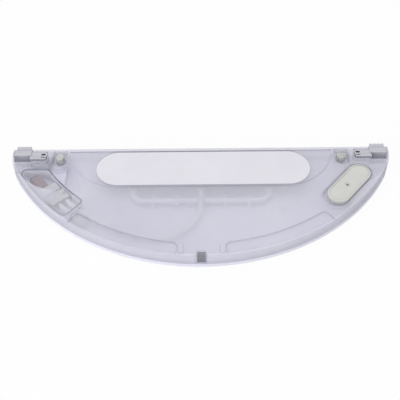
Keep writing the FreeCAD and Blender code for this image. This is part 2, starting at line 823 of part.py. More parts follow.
def latch_lever():
    """Right lever: pivot barrel, arm with its rail, pad and ribbed grip."""
    arm_top = latch_top - arm_drop
    arm_back = rear_y - rear_wall - latch_gap
    pad_back = rear_y - latch_gap / 2
    pad_inner = pad_split_x + latch_gap
    pad = block(V(pad_inner, rear_y - pad_depth, latch_bottom), V(pivot_x + pad_reach, pad_back, latch_top))
    pad = pad.common(prism(pad_sweep(0), latch_bottom, latch_top))
    pad = pad.makeFillet(soft_edge, edges_at(pad, latch_top))
    arm = block(V(pivot_x, pivot_y - barrel_radius, latch_bottom), V(pad_inner + past, arm_back, arm_top))
    barrel = post(pivot_x, pivot_y, latch_bottom, arm_top, barrel_radius)
    rail_front = rear_y - arm_front
    rail_end = pivot_x - rail_overhang
    rail_back = rail_front + rail_width
    rail = block(V(rail_end, rail_front, latch_bottom), V(pad_inner + past, rail_back, latch_top))
    web = block(V(rail_end, rail_front + past, latch_bottom), V(pad_inner + past, pivot_y - past, arm_top))
    front = joined(rail, [web])
    corner = [edge for edge in upright_edges(front)
              if edge.BoundBox.XMax < rail_end + 1e-3 and edge.BoundBox.YMax < rail_front + 1e-3]
    front = front.makeFillet(rail_corner, corner)
    lever = joined(pad, [arm, barrel, front] + latch_grip())
    hole = post(pivot_x, pivot_y, 0, top_height, pin_radius + pin_clearance)
    return lever.cut([hole] + latch_slots()).removeSplitter()


def latch_grip():
    """Grip behind the pad, with four ribs sunk in its rear face."""
    low, high = latch_bottom + 0.6, latch_top + grip_rise
    pad_end = pivot_x + math.sqrt(pad_reach ** 2 - pivot_inset ** 2)
    right = pad_end - grip_outer_gap
    left = right - grip_width
    rib_y = rear_y + latch_reach - grip_rib
    pitch = (grip_width - 2 * grip_rib) / 3
    grip = block(V(left, rear_y - past, low), V(right, rear_y + latch_reach - rib_proud, high))
    ribs = [post(left + grip_rib + pitch * n, rib_y, low, high, grip_rib) for n in range(4)]
    return [grip] + ribs


def latch_slots():
    """Slot over the pivot pin and a shallower one in front of it."""
    arm_top = latch_top - arm_drop
    pin_slot = prism(obround(slot_length, pin_slot_width), arm_top - pin_slot_depth, latch_top + past)
    front_slot = prism(obround(slot_length, front_slot_width), arm_top - front_slot_depth, latch_top + past)
    pin_slot.translate(V(pivot_x, pivot_y, 0))
    front_slot.translate(V(pivot_x, rear_y - front_slot_inset, 0))
    return [pin_slot, front_slot]


def latch_pin(side):
    """Steel pivot pin, pressed into the base's boss."""
    high = latch_top - arm_drop - pin_slot_depth
    pin = post(side * pivot_x, pivot_y, floor_thickness / 2, high, pin_radius)
    return pin.makeChamfer(0.25, edges_at(pin, high))


def latch_spring():
    """Bowed leaf spring between the pocket's front wall and the lever's rail."""
    wall_y = rear_y - arm_pocket_depth + 0.05
    crown_y = rear_y - arm_front - 0.05
    left, right = pivot_x + 1.0, pad_split_x - 1.0
    middle = (left + right) / 2
    t = spring_strip
    plan = face_of([
        arc(V(left, wall_y, 0), V(middle, crown_y - t, 0), V(right, wall_y, 0)),
        line(V(right, wall_y, 0), V(right + t, wall_y, 0)),
        arc(V(right + t, wall_y, 0), V(middle, crown_y, 0), V(left - t, wall_y, 0)),
        line(V(left - t, wall_y, 0), V(left, wall_y, 0)),
    ])
    return prism(plan, latch_bottom + 1, latch_bottom + 1 + spring_height)


def pump_part(shape):
    return placed(shape, rim_placement(pump_inset, pump_angle, -1))


def motor_body():
    """Round motor can with two flats, held by the pump's bracket."""
    end = -bracket_length / 2
    can = rod(V(end - motor_length, 0, pump_height), V(1, 0, 0), motor_length, motor_radius)
    flats = block(V(end - motor_length, -motor_radius, pump_height - motor_flat),
                  V(end, motor_radius, pump_height + motor_flat))
    bore = rod(V(end - past, 0, pump_height), V(1, 0, 0), 2 * past, shaft_radius + 0.1)
    return pump_part(can.common(flats).cut(bore))


def motor_cap():
    """Dark end cap of the motor with its two terminals."""
    start = -bracket_length / 2 - motor_length
    end = start - motor_cap_length
    flat = motor_flat - cap_step
    cap = rod(V(end, 0, pump_height), V(1, 0, 0), motor_cap_length, motor_radius - cap_step)
    flats = block(V(end, -motor_radius, pump_height - flat), V(start, motor_radius, pump_height + flat))
    low = pump_height + terminal_rise - terminal_thickness / 2
    terminals = []
    for y in (-terminal_spread, terminal_spread):
        terminals.append(block(V(end - terminal_length, y - terminal_width / 2, low),
                               V(end, y + terminal_width / 2, low + terminal_thickness)))
    return pump_part(joined(cap.common(flats), terminals))


def pump_bracket():
    """White block between motor and pump head, with a screwed ear."""
    half = bracket_length / 2
    body = block(V(-half, -bracket_left, floor_thickness), V(half, bracket_right, block_top))
    body = body.makeFillet(soft_edge, edges_at(body, block_top) + upright_edges(body))
    spot = screw_spots()[0]
    ear_top = floor_thickness + ear_height
    ear = post(spot.x, spot.y, floor_thickness, ear_top, ear_radius)
    web = block(V(spot.x - ear_radius, spot.y, floor_thickness),
                V(spot.x + ear_radius, -bracket_left + past, ear_top))
    bore = rod(V(-half - past, 0, pump_height), V(1, 0, 0), bracket_length + 2 * past, 3 * shaft_radius)
    hole = post(spot.x, spot.y, 0, top_height, screw_radius)
    notch = post(spot.x, spot.y, ear_top, top_height, screw_head_radius + weld_gap)
    return pump_part(joined(body, [ear, web]).cut([bore, hole, notch]))


def pump_head():
    """White pump head with the impeller's chamber, open to its lid."""
    start = bracket_length / 2 + split_gap
    end = start + head_length
    body = block(V(start, -head_left, floor_thickness), V(end, head_right, block_top))
    body = body.makeFillet(soft_edge, edges_at(body, block_top)[:1] + upright_edges(body)[:2])
    key = block(V(start - split_gap, key_left, floor_thickness),
                V(start + past, key_right, block_top - key_drop))
    chamber = rod(V(end - chamber_depth, 0, pump_height), V(1, 0, 0), chamber_depth + past, chamber_radius)
    bore = rod(V(start - past, 0, pump_height), V(1, 0, 0), head_length, shaft_radius + shaft_clearance)
    outlet = block(V(end - 2.0, 2.0, pump_height - barb_radius),
                   V(end + past, barb_spots()[0].y + barb_radius, pump_height + barb_radius))
    spot = screw_spots()[1]
    hole = post(spot.x, spot.y, 0, top_height, screw_radius)
    sink = post(spot.x, spot.y, block_top - head_sink, top_height, screw_head_radius + weld_gap)
    screw_start = end - lid_screw_depth
    screw_holes = [rod(V(screw_start, p.x, p.y), V(1, 0, 0), lid_screw_depth + past, lid_screw_radius)
                   for p in lid_screw_spots()]
    return pump_part(joined(body, [key]).cut([chamber, bore, outlet, hole, sink] + screw_holes))


def lid_screw_spots():
    """Lid screws as (y, z) pairs in the pump's frame."""
    low, high = floor_thickness + lid_screw_end, block_top - lid_screw_end
    left, right = -head_left + lid_screw_side, head_right - lid_screw_side
    return [V(left, low, 0), V(left, high, 0), V(right, low, 0), V(right, high, 0)]


def bend_start(inset, length):
    """Where a hose leaves the lid so that one arc takes it to the bay's wall."""
    frame = rim_placement(pump_inset, pump_angle, -1)
    end = frame.inverse().multVec(rim_point(rim_radius - inset, bay_front_angle, -1))
    turn = math.radians(pump_angle - bay_front_angle)
    bisector = V(math.cos(turn / 2), math.sin(turn / 2), 0)
    chord = (end.x - length) / bisector.x
    start = end - bisector * chord
    sag = chord / 2 * math.tan(turn / 4)
    middle = (start + end) / 2 + V(math.sin(turn / 2), -math.cos(turn / 2), 0) * sag
    return start, middle, end


def lid_face():
    return bracket_length / 2 + split_gap + head_length + lid_thickness


def barb_spots():
    """Outlet and inlet barbs on the lid."""
    return [bend_start(hose_inset, lid_face())[0], bend_start(suction_inset, lid_face())[0]]


def pump_lid():
    """Lid of the pump head with its outlet and inlet barbs."""
    face = lid_face()
    body = block(V(face - lid_thickness, -head_left, floor_thickness), V(face, head_right, block_top))
    right_edges = [edge for edge in body.Edges if edge.BoundBox.XMin > face - 1e-4]
    body = body.makeFillet(soft_edge, right_edges)
    barbs = []
    bores = []
    for spot in barb_spots():
        start = V(face - past, spot.y, pump_height)
        barbs.append(rod(start, V(1, 0, 0), barb_length + past, barb_radius))
        bore_length = barb_length + 2 * lid_thickness
        bores.append(rod(start - V(lid_thickness, 0, 0), V(1, 0, 0), bore_length, barb_bore))
    hole_length = lid_thickness + 2 * past
    holes = [rod(V(face + past - hole_length, p.x, p.y), V(1, 0, 0), hole_length, lid_screw_radius)
             for p in lid_screw_spots()]
    return pump_part(joined(body, barbs).cut(bores + holes))


def lid_screws():
    """Four small screws through the lid's corners."""
    face = lid_face()
    screws = []
    for p in lid_screw_spots():
        length = lid_thickness + lid_screw_depth
        shank = rod(V(face - length, p.x, p.y), V(1, 0, 0), length, lid_screw_radius)
        head = rod(V(face, p.x, p.y), V(1, 0, 0), lid_screw_head_height, lid_screw_head_radius)
        screws.append(pump_part(shank.fuse(head).removeSplitter()))
    return Part.makeCompound(screws)


def pump_screws():
    """Two pan-head screws that hold the pump on the base."""
    screws = []
    for point, seat in zip(screw_spots(), (floor_thickness + ear_height, block_top - head_sink)):
        shank = post(point.x, point.y, screw_tip, seat, screw_radius)
        head = post(point.x, point.y, seat, seat + screw_head_height, screw_head_radius)
        top = seat + screw_head_height
        slot = block(V(point.x - screw_head_radius, point.y - slot_thickness / 2, top - slot_sink),
                     V(point.x + screw_head_radius, point.y + slot_thickness / 2, top + past))
        screws.append(pump_part(shank.fuse(head).removeSplitter().cut(slot)))
    return Part.makeCompound(screws)


def impeller_range():
    end = bracket_length / 2 + split_gap + head_length
    return end - chamber_depth + impeller_clearance, end - impeller_clearance


def motor_shaft():
    """Steel shaft from the motor to the impeller."""
    start = -bracket_length / 2 - past + 0.1
    end = impeller_range()[1] - impeller_clearance / 2
    return pump_part(rod(V(start, 0, pump_height), V(1, 0, 0), end - start, shaft_radius))


def pump_impeller():
    """Impeller: hub, back disc and five straight vanes."""
    low, high = impeller_range()
    radius = chamber_radius - impeller_clearance
    hub = rod(V(low, 0, pump_height), V(1, 0, 0), high - low, hub_radius)
    disc = rod(V(low, 0, pump_height), V(1, 0, 0), disc_thickness, radius)
    vanes = []
    for n in range(vane_count):
        vane = block(V(low, -vane_thickness / 2, pump_height),
                     V(high, vane_thickness / 2, pump_height + radius))
        vane.rotate(V(0, 0, pump_height), V(1, 0, 0), 360 / vane_count * n)
        vanes.append(vane)
    envelope = rod(V(low, 0, pump_height), V(1, 0, 0), high - low, radius)
    bore = rod(V(low - past, 0, pump_height), V(1, 0, 0), high - low + 2 * past, shaft_radius)
    return pump_part(joined(hub, [disc] + vanes).common(envelope).cut(bore))


# Route of the main hose, from the pump to the cross fitting
run_radius = rim_radius - hose_inset
turn_sine = math.sin(math.radians(hose_turn_angle))
turn_cosine = math.cos(math.radians(hose_turn_angle))
sweep_radius = run_radius * turn_sine / (1 + turn_sine)
junction_y = arc_y - (run_radius - sweep_radius) * turn_cosine + fitting_radius
outlet_y = junction_y + outlet_run


def tube(path, radius, bore):
    """Tube of an outer and an inner radius along a smooth path."""
    start = path.Edges[0].firstVertex().Point
    first = path.Edges[0]
    direction = first.tangentAt(first.FirstParameter)
    outer = Part.Wire(Part.makeCircle(radius, start, direction))
    inner = Part.Wire(Part.makeCircle(bore, start, direction))
    return path.makePipeShell([outer], True, True).cut(path.makePipeShell([inner], True, True))


def raised(points):
    return [V(point.x, point.y, pump_height) for point in points]


def lid_arc(inset):
    """Arc from the pump's lid to the bay's front wall."""
    frame = rim_placement(pump_inset, pump_angle, -1)
    points = raised([frame.multVec(point) for point in bend_start(inset, lid_face())])
    return arc(*points)


def hose_main():
    """Main hose: from the pump along the rim, then round to the cross fitting."""
    end_angle = (bay_front_angle + hose_turn_angle) / 2
    run = arc(*raised([rim_point(run_radius, bay_front_angle, -1), rim_point(run_radius, end_angle, -1),
                       rim_point(run_radius, hose_turn_angle, -1)]))
    centre = V(-sweep_radius, junction_y - fitting_radius, pump_height)
    half_turn = math.radians((hose_turn_angle - 90) / 2 - hose_turn_angle)
    middle = centre + V(math.cos(half_turn), math.sin(half_turn), 0) * sweep_radius
    turn = arc(raised([rim_point(run_radius, hose_turn_angle, -1)])[0], middle,
               V(0, junction_y - fitting_radius, pump_height))
    return tube(Part.Wire([lid_arc(hose_inset), run, turn]), hose_radius, hose_bore)


def hose_suction():
    """Suction hose: from the pump through the bay's wall to the filter."""
    radius = rim_radius - suction_inset
    reach = math.degrees(suction_stub / radius)
    last = bay_front_angle - reach
    middle = bay_front_angle - reach / 2
    run = arc(*raised([rim_point(radius, angle, -1) for angle in (bay_front_angle, middle, last)]))
    return tube(Part.Wire([lid_arc(suction_inset), run]), hose_radius, hose_bore)


def hose_branch(side):
    """Branch hose: along the rear of the fitting, then round to its outlet."""
    x0, x1 = side * fitting_radius, side * branch_reach
    bend_x = x1 - side * branch_bend
    corner = branch_bend * (1 - math.sqrt(0.5))
    y = junction_y
    end_y_hose = outlet_y - elbow_radius
    path = [
        line(V(x0, y, pump_height), V(bend_x, y, pump_height)),
        arc(V(bend_x, y, pump_height), V(x1 - side * corner, y + corner, pump_height),
            V(x1, y + branch_bend, pump_height)),
        line(V(x1, y + branch_bend, pump_height), V(x1, end_y_hose, pump_height)),
    ]
    return tube(Part.Wire(path), hose_radius, hose_bore)


def hose_centre():
    """Short hose from the cross fitting to the middle outlet."""
    start = V(0, junction_y + fitting_radius, pump_height)
    length = outlet_y - elbow_radius - start.y
    outer = rod(start, V(0, 1, 0), length, hose_radius)
    return outer.cut(rod(start, V(0, 1, 0), length, hose_bore))


def cross_fitting():
    """Cross fitting: a round body with four barbs, on the floor's pad."""
    low = pump_height - fitting_height / 2
    body = post(0, junction_y, low, low + fitting_height, fitting_radius)
    body = body.makeChamfer(small_chamfer, edges_at(body, low + fitting_height))
    foot = post(0, junction_y, floor_thickness, low, fitting_radius / 2)
    barbs = []
    bores = []
    for direction in (V(1, 0, 0), V(-1, 0, 0), V(0, 1, 0), V(0, -1, 0)):
        start = V(0, junction_y, pump_height)
        barbs.append(rod(start, direction, fitting_radius + barb_length / 2, barb_radius))
        bores.append(rod(start, direction, fitting_radius + barb_length, barb_bore))
    return joined(body, [foot] + barbs).cut(bores)


def outlet_elbow(x):
    """Elbow: barb towards the hose, spigot down through the floor."""
    seat = floor_thickness + collar_height
    high = pump_height + hose_radius + 0.6
    body = post(x, outlet_y, seat, high, elbow_radius)
    body = body.makeFillet(soft_edge, edges_at(body, high))
    spigot = post(x, outlet_y, underside_recess + spigot_sink, seat + past, spigot_radius)
    barb = rod(V(x, outlet_y, pump_height), V(0, -1, 0), elbow_radius + barb_length / 2, barb_radius)
    drip = post(x, outlet_y, -past, pump_height, drip_radius)
    bore = rod(V(x, outlet_y, pump_height), V(0, -1, 0), elbow_radius + barb_length, barb_bore)
    return joined(body, [spigot, barb]).cut([drip, bore])


def bulkhead_grommets():
    """Two rubber grommets that seal the hoses in the bay's front wall."""
    grommets = []
    for inset in (hose_inset, suction_inset):
        spot = rim_placement(inset, bay_front_angle, -1)
        front = grommet_slack
        back = -bulkhead_thickness - grommet_slack - grommet_flange
        length = front + grommet_flange - back
        core = rod(V(back, 0, pump_height), V(1, 0, 0), length, grommet_radius)
        flanges = [rod(V(x, 0, pump_height), V(1, 0, 0), grommet_flange, grommet_radius + grommet_lip)
                   for x in (back, front)]
        bore = rod(V(back - past, 0, pump_height), V(1, 0, 0), length + 2 * past, hose_radius + pin_clearance)
        grommets.append(placed(joined(core, flanges).cut(bore), spot))
    return Part.makeCompound(grommets)


def inlet_filter():
    """Round slotted filter on the suction hose's end, resting on the floor."""
    radius = rim_radius - suction_inset
    reach = math.degrees(suction_stub / radius)
    spot = rim_placement(suction_inset, bay_front_angle - reach, -1)
    body = rod(V(0, 0, pump_height), V(1, 0, 0), filter_length, filter_radius)
    foot = block(V(filter_foot_inset, -filter_radius / 2, floor_thickness),
                 V(filter_length - filter_foot_inset, filter_radius / 2, pump_height))
    slots = []
    for n in range(filter_slots):
        start = V(filter_slot_start + n * filter_slot_pitch, 0, pump_height)
        ring = rod(start, V(1, 0, 0), filter_slot_width, filter_radius + past)
        slots.append(ring.cut(rod(start, V(1, 0, 0), filter_slot_width, filter_radius - filter_slot_depth)))
    upper = block(V(0, -filter_radius - past, pump_height),
                  V(filter_length, filter_radius + past, top_height))
    slots = [ring.common(upper) for ring in slots]
    bore = rod(V(-past, 0, pump_height), V(1, 0, 0), filter_length, hose_bore)
    return placed(joined(body, [foot]).cut(slots + [bore]), spot)


def front_magnet():
    """Dark magnet in its pocket behind the middle of the rim."""
    half = magnet_width / 2
    front = front_y + wall_thickness + weld_gap + magnet_clearance
    body = block(V(-half, front, floor_thickness),
                 V(half, front + magnet_depth, floor_thickness + magnet_height))
    return body.makeChamfer(small_chamfer, upright_edges(body))


def contact_block():
    """Insert at the duct's rear end that carries the pump's two contacts."""
    plug = duct_space(-contact_clearance, rear_y - block_depth, rear_y - block_sink)
    seats = [pad_seat(x, rear_y - block_sink - pad_thickness / 2, rear_y) for x in contact_pad_x()]
    return plug.cut(seats)


def pad_seat(x, front, back):
    return block(V(x - pad_width / 2, front, floor_thickness + pad_margin),
                 V(x + pad_width / 2, back, duct_top - duct_wall - pad_margin))


def contact_pad_x():
    return [-channel_x - contact_width / 4, -channel_x + contact_width / 4]


def contact_pads():
    """Two plated contact pads on the insert."""
    back = rear_y - block_sink + pad_thickness / 2
    return Part.makeCompound([pad_seat(x, back - pad_thickness, back) for x in contact_pad_x()])


def report_hoses(nodes):
    """Print the bend radii of the held hoses and their volumes against section by length."""
    section = math.pi * (hose_radius ** 2 - hose_bore ** 2)
    lid_radii = [lid_arc(inset).Curve.Radius for inset in (hose_inset, suction_inset)]
    suction_radius = rim_radius - suction_inset
    main_length = lid_arc(hose_inset).Length + run_radius * math.radians(bay_front_angle - hose_turn_angle)
    main_length += sweep_radius * math.radians(90 + hose_turn_angle)
    suction_length = lid_arc(suction_inset).Length + suction_stub
    branch_length = branch_reach - fitting_radius - branch_bend + branch_bend * math.pi / 2
    branch_length += outlet_y - elbow_radius - junction_y - branch_bend
    centre_length = outlet_y - elbow_radius - junction_y - fitting_radius
    rows = [("hose_main", main_length, (lid_radii[0], run_radius, sweep_radius)),
            ("hose_suction", suction_length, (lid_radii[1], suction_radius)),
            ("hose_left", branch_length, (branch_bend,)),
            ("hose_right", branch_length, (branch_bend,)),
            ("hose_centre", centre_length, ())]
    for name, length, radii in rows:
        share = nodes[name].Volume / (section * length)
        bends = [round(radius, 1) for radius in radii]
        print(name, "length", round(length, 1), "bend radii", bends, "volume share", round(share, 3))


def build():
    lever = latch_lever()
    spring = latch_spring()
    nodes = {
        "tank_base": tank_base(),
        "tank_cover": tank_cover(),
        "instruction_label": instruction_label(),
        "filler_plug": filler_plug(),
        "left_bumper": left_bumper(),
        "right_bumper": right_bumper(),
        "latch_lever_left": mirrored(lever),
        "latch_lever_right": lever,
        "latch_pin_left": latch_pin(-1),
        "latch_pin_right": latch_pin(1),
        "latch_spring_left": mirrored(spring),
        "latch_spring_right": spring,
        "pump_motor": motor_body(),
        "motor_cap": motor_cap(),
        "motor_shaft": motor_shaft(),
        "pump_bracket": pump_bracket(),
        "pump_head": pump_head(),
        "pump_impeller": pump_impeller(),
        "pump_lid": pump_lid(),
        "lid_screws": lid_screws(),
        "pump_screws": pump_screws(),
        "bay_seal": bay_seal(),
        "bulkhead_grommets": bulkhead_grommets(),
        "inlet_filter": inlet_filter(),
        "hose_suction": hose_suction(),
        "hose_main": hose_main(),
        "cross_fitting": cross_fitting(),
        "hose_left": hose_branch(-1),
        "hose_right": hose_branch(1),
        "hose_centre": hose_centre(),
        "outlet_elbow_left": outlet_elbow(-branch_reach),
        "outlet_elbow_centre": outlet_elbow(0),
        "outlet_elbow_right": outlet_elbow(branch_reach),
        "front_magnet": front_magnet(),
        "contact_block": contact_block(),
        "contact_pads": contact_pads(),
        "hook_strip_left": hook_strip(-1),
        "hook_strip_right": hook_strip(1),
    }
    os.makedirs("parts", exist_ok=True)
    for name, shape in nodes.items():
        shape.exportStep(f"parts/{name}.step")
        print(name, round(shape.Volume, 1), len(shape.Solids), shape.isValid())
    report_hoses(nodes)


build()
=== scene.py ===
import math

import bmesh
import bpy
from mathutils import Matrix, Vector


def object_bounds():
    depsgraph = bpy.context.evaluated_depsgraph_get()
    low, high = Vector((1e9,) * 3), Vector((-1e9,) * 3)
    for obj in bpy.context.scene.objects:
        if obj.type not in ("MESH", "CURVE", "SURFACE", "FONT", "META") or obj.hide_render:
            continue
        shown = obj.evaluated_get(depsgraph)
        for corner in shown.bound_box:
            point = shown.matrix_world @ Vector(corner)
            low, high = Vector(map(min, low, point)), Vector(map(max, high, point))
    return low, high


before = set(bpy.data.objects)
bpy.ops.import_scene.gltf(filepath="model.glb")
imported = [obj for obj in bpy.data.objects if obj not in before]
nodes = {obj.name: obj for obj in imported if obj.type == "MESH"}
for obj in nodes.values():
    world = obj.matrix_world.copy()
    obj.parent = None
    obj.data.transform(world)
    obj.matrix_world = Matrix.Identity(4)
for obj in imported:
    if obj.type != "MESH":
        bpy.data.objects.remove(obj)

MM = 0.001
cad_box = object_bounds()


def linear(code):
    """sRGB hex to linear RGBA."""
    values = [int(code[i:i + 2], 16) / 255 for i in (1, 3, 5)]
    return tuple(v / 12.92 if v <= 0.04045 else ((v + 0.055) / 1.055) ** 2.4 for v in values) + (1.0,)


# Camera: fitted to the photograph's rim, ends and height
camera_data = bpy.data.cameras.new("photo_camera")
camera_data.sensor_width = 36.0
camera_data.lens = 66.93
camera = bpy.data.objects.new("photo_camera", camera_data)
bpy.context.scene.collection.objects.link(camera)
camera_place = Vector((-0.883, -394.393, 443.957)) * MM
camera_target = Vector((-0.883, 9.218, 0.0)) * MM
look = (camera_target - camera_place).to_track_quat("-Z", "Y").to_matrix().to_4x4()
camera.matrix_world = Matrix.Translation(camera_place) @ look @ Matrix.Rotation(math.radians(-0.53), 4, "Z")
bpy.context.scene.camera = camera


def emptied(owner):
    """Turns on the nodes of a material or a world and clears them."""
    owner.use_nodes = True
    owner.node_tree.nodes.clear()
    return owner


def add(owner, kind, settings=None, inputs=None, links=None):
    """Adds one node: its settings, the values of its inputs, and what feeds them."""
    node = owner.node_tree.nodes.new("ShaderNode" + kind)
    for key, value in (settings or {}).items():
        setattr(node, key, value)
    for key, value in (inputs or {}).items():
        node.inputs[key].default_value = value
    for key, source in (links or {}).items():
        owner.node_tree.links.new(source, node.inputs[key])
    return node


def ramp(material, source, low, high, start=0.0, end=1.0):
    """Smooth step of a value: start below low, end above high."""
    step = add(material, "MapRange", {"interpolation_type": "SMOOTHSTEP"},
               {"From Min": low, "From Max": high, "To Min": start, "To Max": end}, {"Value": source})
    return step.outputs["Result"]


def maths(material, operation, *values):
    """Math node of one or two values, each a number or another node's output."""
    node = add(material, "Math", {"operation": operation})
    for place, value in enumerate(values):
        if isinstance(value, (int, float)):
            node.inputs[place].default_value = value
        else:
            material.node_tree.links.new(value, node.inputs[place])
    return node.outputs["Value"]


def mixed(owner, share, first, second):
    """First shader where the share is 0, second where it is 1."""
    blend = add(owner, "MixShader", links={"Fac": share, 1: first, 2: second})
    return blend.outputs["Shader"]


def two_tone(material, source, dark, light):
    """Colour between two tones, by a pattern's value."""
    colour = add(material, "ValToRGB", links={"Fac": source})
    low, high = colour.color_ramp.elements
    low.position, low.color = 0.3, linear(dark)
    high.position, high.color = 0.7, linear(light)
    return colour.outputs["Color"]


def moulded(name, dark, light, roughness, grain_mm, bump_mm, ior=1.5, spread_mm=40.0, coat=0.0,
            painted_shade_mm=0.0, painted_shade_colour="#808080", clear=None):
    """Moulded material: slow drift between two colours, a fine eroded grain, and painted shade darkening its
    creases by ambient occlusion.
    """
    material = emptied(bpy.data.materials.new(name))
    place = add(material, "TexCoord").outputs["Object"]
    drift = add(material, "TexNoise", inputs={"Scale": 1 / (spread_mm * MM), "Detail": 2.0, "Roughness": 0.5},
                links={"Vector": place})
    colour = two_tone(material, drift.outputs["Fac"], dark, light)
    # Painted shade: ambient occlusion pulls the colour towards the painted shade colour in creases, corners
    # and steps
    if painted_shade_mm:
        shade = add(material, "AmbientOcclusion", {"samples": 8, "only_local": True},
                    {"Distance": painted_shade_mm * MM})
        painted_shade_share = maths(material, "SUBTRACT", 1.0, shade.outputs["AO"])
        painted_shade_mix = add(material, "MixRGB", {"blend_type": "MULTIPLY"}, {"Color2": linear(painted_shade_colour)},
                   {"Fac": painted_shade_share, "Color1": colour})
        colour = painted_shade_mix.outputs["Color"]
    grain = add(material, "TexNoise", inputs={"Scale": 1 / (grain_mm * MM), "Detail": 3.0, "Roughness": 0.6},
                links={"Vector": place})
    gloss = add(material, "MapRange", inputs={"To Min": roughness * 0.85, "To Max": roughness * 1.15},
                links={"Value": grain.outputs["Fac"]})
    bump = add(material, "Bump", inputs={"Strength": 0.35, "Distance": bump_mm * MM},
               links={"Height": grain.outputs["Fac"]})
    shader = add(material, "BsdfPrincipled", inputs={"IOR": ior, "Coat Weight": coat, "Coat Roughness": 0.12},
                 links={"Base Color": colour, "Roughness": gloss.outputs["Result"],
                        "Normal": bump.outputs["Normal"]})
    surface = shader.outputs["BSDF"]
    if clear:
        film = add(material, "BsdfTransparent", inputs={"Color": (1.0, 1.0, 1.0, 1.0)})
        surface = mixed(material, clear(material, place), surface, film.outputs["BSDF"])
    add(material, "OutputMaterial", links={"Surface": surface})
    return material


# Plan of the tank: the rim's arc, and the arcs at its ends
rim_radius = 172.0 * MM
rim_centre = Vector((0.0, 113.5, 0.0)) * MM
end_radius = 46.0 * MM
end_centre = Vector((110.25, 52.5, 0.0)) * MM
rear_face = 55.5 * MM

# Share of light that the cover lets through, fitted to the photograph
wall_clear = 0.45           # its walls and edges
plate_clear = 0.62          # its plate
bay_clear = 0.84            # its plate over the pump
magnet_window = 2.2         # the wall before the magnet, in steps from wall to plate

# Where those shares change
rim_edge = 1.0 * MM         # inside the rim, and over as much again
rear_edge = 2.0 * MM        # inside the rear face
rear_fade = 3.2 * MM
end_fade = 16.0 * MM        # past the middle of the end arcs
steep, level_enough = 0.3, 0.8      # upward part of the normal, from wall to plate
pump_middle = Vector((-124.0, 16.0, 0.0)) * MM
bay_reach = 20.0 * MM
bay_fade = 34.0 * MM
window_middle = -0.5 * MM
window_half = 2.5 * MM
window_fade = 6.0 * MM
window_depth_share = 0.9    # of the way from the middle to the front, where the window starts


def away_from(material, x, y, centre):
    """How far a place lies from a centre, seen from above."""
    level = add(material, "CombineXYZ", links={"X": x, "Y": y})
    away = add(material, "VectorMath", {"operation": "DISTANCE"}, {1: centre},
               {0: level.outputs["Vector"]})
    return away.outputs["Value"]


def plate_share(material, across, y):
    """1 on the cover's plate, 0 on its walls and along its edges."""
    from_rim = away_from(material, across, y, rim_centre)
    from_end = away_from(material, across, y, end_centre)
    inside_rim = ramp(material, from_rim, rim_radius - 2 * rim_edge, rim_radius - rim_edge, 1.0, 0.0)
    inside_end = ramp(material, from_end, end_radius - 2 * rim_edge, end_radius - rim_edge, 1.0, 0.0)
    before_end = ramp(material, across, end_centre.x, end_centre.x + end_fade, 1.0, 0.0)
    inside_rear = ramp(material, y, rear_face - rear_fade, rear_face - rear_edge, 1.0, 0.0)
    normal = add(material, "SeparateXYZ", links={"Vector": add(material, "TexCoord").outputs["Normal"]})
    facing_up = ramp(material, maths(material, "ABSOLUTE", normal.outputs["Z"]), steep, level_enough)
    inside = maths(material, "MULTIPLY", inside_rim, maths(material, "MAXIMUM", inside_end, before_end))
    return maths(material, "MULTIPLY", inside, maths(material, "MULTIPLY", inside_rear, facing_up))


def window_share(material, x, y):
    """Above 0 on the cover's wall before the magnet."""
    aside = maths(material, "ABSOLUTE", maths(material, "SUBTRACT", x, window_middle))
    before_magnet = ramp(material, aside, window_half, window_fade, 1.0, 0.0)
    in_front = ramp(material, y, -rear_face, -window_depth_share * rear_face, 1.0, 0.0)
    window = maths(material, "MULTIPLY", before_magnet, in_front)
    return maths(material, "MULTIPLY", window, magnet_window)


def cover_clearness(material, place):
    """Share of light that passes: low through walls, higher through the plate, most over the pump."""
    parts = add(material, "SeparateXYZ", links={"Vector": place}).outputs
    across = maths(material, "ABSOLUTE", parts["X"])
    share = maths(material, "MAXIMUM", plate_share(material, across, parts["Y"]),
                  window_share(material, parts["X"], parts["Y"]))
    from_pump = away_from(material, parts["X"], parts["Y"], pump_middle)
    on_plate = ramp(material, from_pump, bay_reach, bay_fade, bay_clear, plate_clear)
    clear = add(material, "MapRange", {"clamp": False}, {"To Min": wall_clear},
                {"Value": share, "To Max": on_plate})
    return clear.outputs["Result"]


def metal(name, dark, light, roughness, scratch_mm, stretch=(1.0, 1.0, 1.0)):
    """Bare or plated metal with fine lines from its working."""
    material = emptied(bpy.data.materials.new(name))
    place = add(material, "TexCoord").outputs["Object"]
    lines = add(material, "Mapping", inputs={"Scale": stretch}, links={"Vector": place})
    grain = add(material, "TexNoise",
                inputs={"Scale": 1 / (scratch_mm * MM), "Detail": 4.0, "Roughness": 0.6},
                links={"Vector": lines.outputs["Vector"]})
    colour = two_tone(material, grain.outputs["Fac"], dark, light)
    gloss = add(material, "MapRange", inputs={"To Min": roughness * 0.7, "To Max": roughness * 1.3},
                links={"Value": grain.outputs["Fac"]})
    bump = add(material, "Bump", inputs={"Strength": 0.2, "Distance": 0.02 * MM},
               links={"Height": grain.outputs["Fac"]})
    shader = add(material, "BsdfPrincipled", inputs={"Metallic": 1.0},
                 links={"Base Color": colour, "Roughness": gloss.outputs["Result"],
                        "Normal": bump.outputs["Normal"]})
    add(material, "OutputMaterial", links={"Surface": shader.outputs["BSDF"]})
    return material


# Frosted polycarbonate from a sparked mould: soft milky lavender, the pump shows faintly through it; painted
# bluish shade darkens its steps, grooves and recess corners
cover_material = moulded("frosted_polycarbonate", "#E4E3EF", "#E9E8F2", 0.42, 0.9, 0.03, ior=1.58,
                         painted_shade_mm=1.4, painted_shade_colour="#8F93AA", clear=cover_clearness)
